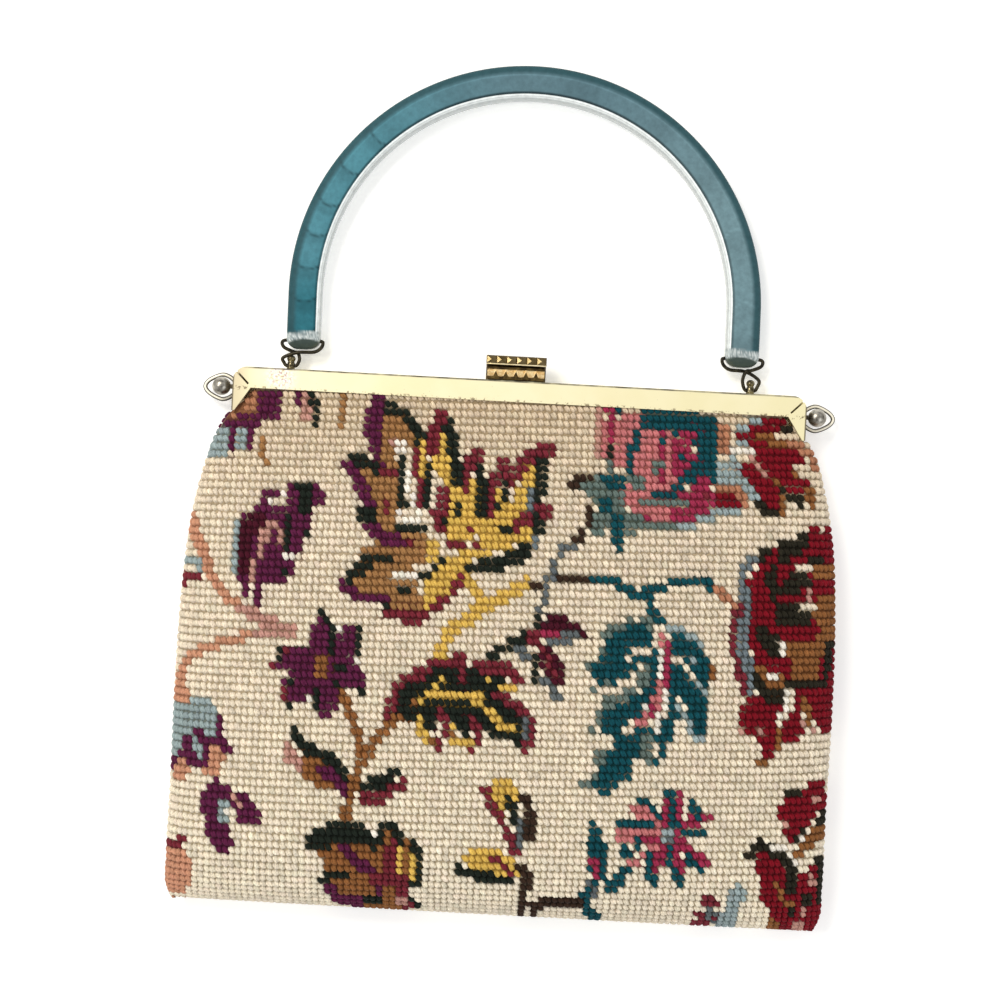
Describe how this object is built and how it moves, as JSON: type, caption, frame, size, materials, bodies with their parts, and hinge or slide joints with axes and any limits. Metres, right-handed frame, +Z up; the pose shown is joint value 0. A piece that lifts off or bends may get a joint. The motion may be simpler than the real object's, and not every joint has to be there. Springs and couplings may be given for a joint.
{
  "type": "kiss lock bag",
  "caption": "Needlepoint frame handbag lying on its back: domed cloth pouch on a gold hinged frame with a kiss lock, and a blue arched handle hung on wires.",
  "frame": {"origin": "under the middle of the whole object, on the surface that the bag lies on", "axes": "+X along the frame to the bag's right as seen from its front, +Y from the bag's bottom towards the handle, +Z up out of the bag's front"},
  "size_m": [0.2754, 0.358, 0.0366],
  "materials": {
    "needlepoint": "wool stitches over canvas, cream ground with a floral pattern",
    "gilt_frame": "pale gold plate, satin, with small chips and scuffs",
    "clasp_brass": "polished brass darkened in its recesses",
    "pewter": "worn grey metal",
    "dark_bronze": "tarnished dark wire",
    "blue_lucite": "pearly translucent blue with a clear inner edge"
  },
  "bodies": {
    "bag": {"front_panel": "needlepoint", "back_panel": "needlepoint", "frame_front": "gilt_frame", "frame_back": "gilt_frame", "clasp_front": "clasp_brass", "clasp_back": "clasp_brass", "hinge_pin_left": "pewter", "hinge_pin_right": "pewter", "end_ring_left": "gilt_frame", "end_ring_right": "gilt_frame", "handle_post_left": "dark_bronze", "handle_post_right": "dark_bronze"},
    "wires": {"handle_wire_left": "dark_bronze", "handle_wire_right": "dark_bronze"},
    "handle": {"handle": "blue_lucite"}
  },
  "joints": [
    {"name": "wire_swing", "type": "hinge", "parent": "bag", "child": "wires", "pos_m": [0, 0.0471, 0.0052], "axis": [1, 0, 0], "range_deg": [0, 60]},
    {"name": "handle_swing", "type": "hinge", "parent": "wires", "child": "handle", "pos_m": [0.00024, 0.0591, 0.0052], "axis": [0.9999, 0.0122, 0], "range_deg": [0, 60]}
  ]
}
